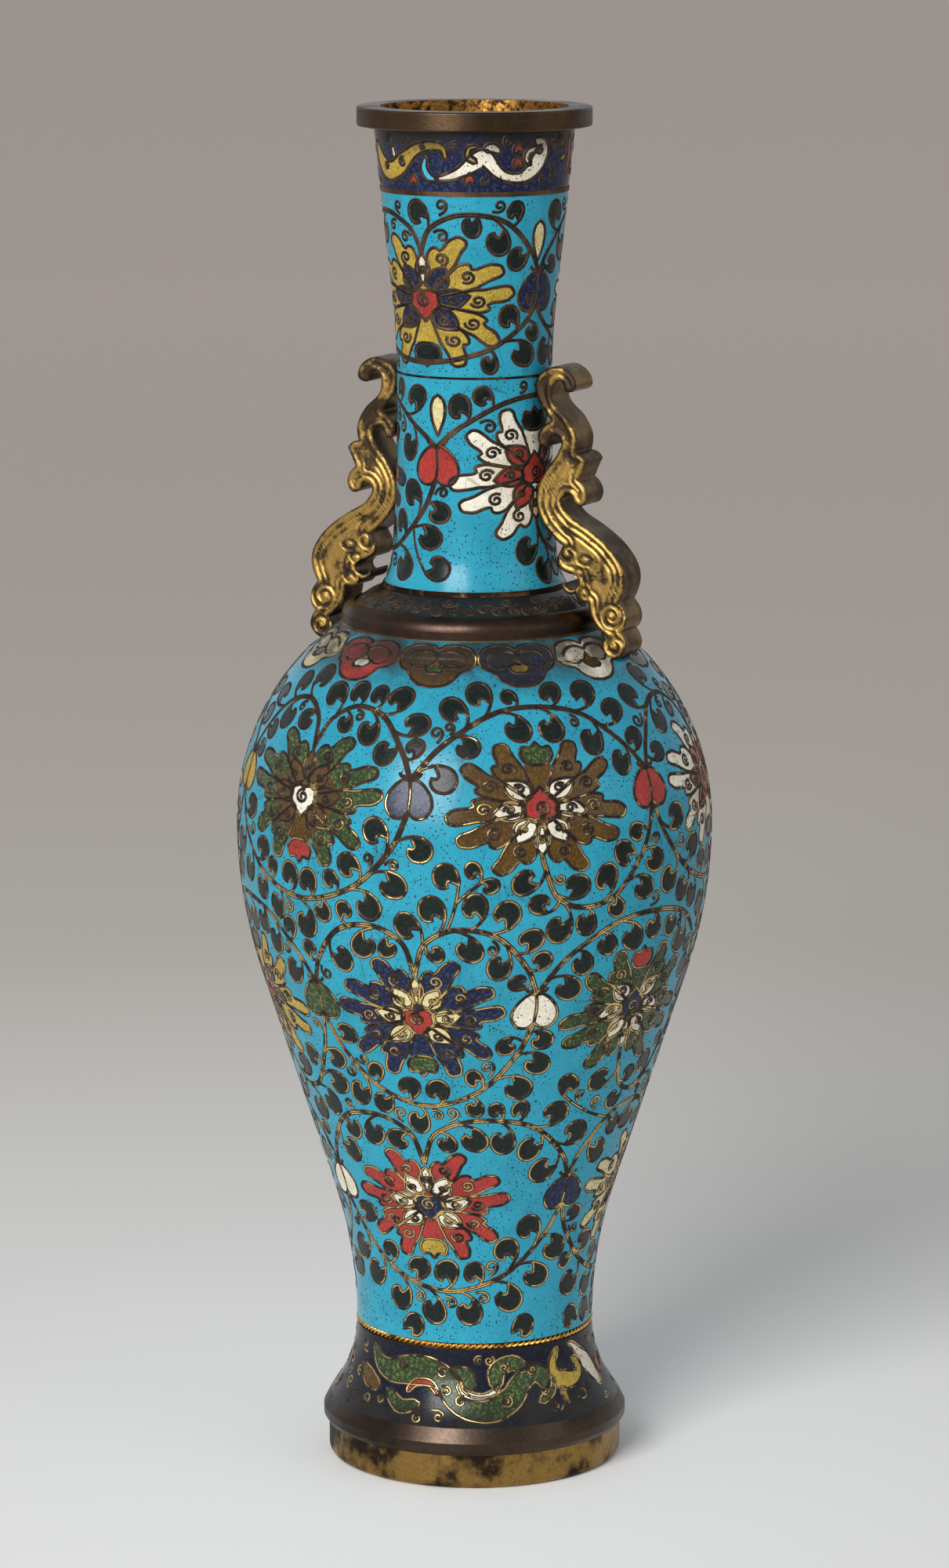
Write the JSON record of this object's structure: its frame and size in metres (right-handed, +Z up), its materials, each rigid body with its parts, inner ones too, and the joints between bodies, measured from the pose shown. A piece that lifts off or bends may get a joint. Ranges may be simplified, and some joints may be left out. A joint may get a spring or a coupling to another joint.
{
  "type": "cloisonne vase",
  "caption": "Tall baluster vase in cloisonne enamel on copper, with bronze mouth rim, collar and base, a gilt foot ring and scroll handles on its neck.",
  "frame": {"origin": "on the vase's axis, at the plane its foot ring stands on", "axes": "+Z up the vase's axis, +X through the right handle, -Y to the front"},
  "size_m": [0.1568, 0.1568, 0.45],
  "materials": {
    "bronze": "dark patinated bronze, satin",
    "gilt": "worn gilding over bronze",
    "wire": "polished gilt wire",
    "copper": "dull hammered copper",
    "turquoise_enamel": "polished enamel with fine pits",
    "blue_enamel": "polished enamel with fine pits"
  },
  "bodies": {
    "root": {"mouth_rim": "bronze", "neck_shell": "copper", "neck_band_enamel": "blue_enamel", "neck_band_wire": "wire", "upper_neck_enamel": "turquoise_enamel", "neck_seam_wire": "wire", "lower_neck_enamel": "turquoise_enamel", "neck_foot_wire": "wire", "collar_enamel": "blue_enamel", "collar_ring": "bronze", "collar_wire": "wire", "body_shell": "copper", "body_enamel": "turquoise_enamel", "waist_wire": "gilt", "foot_shell": "copper", "foot_enamel": "blue_enamel", "base_moulding": "bronze", "foot_ring": "gilt", "base_plate": "copper", "handle_right": "gilt", "handle_left": "gilt", "upper_handle_pins": "bronze", "foot_handle_pins": "bronze"}
  },
  "joints": []
}
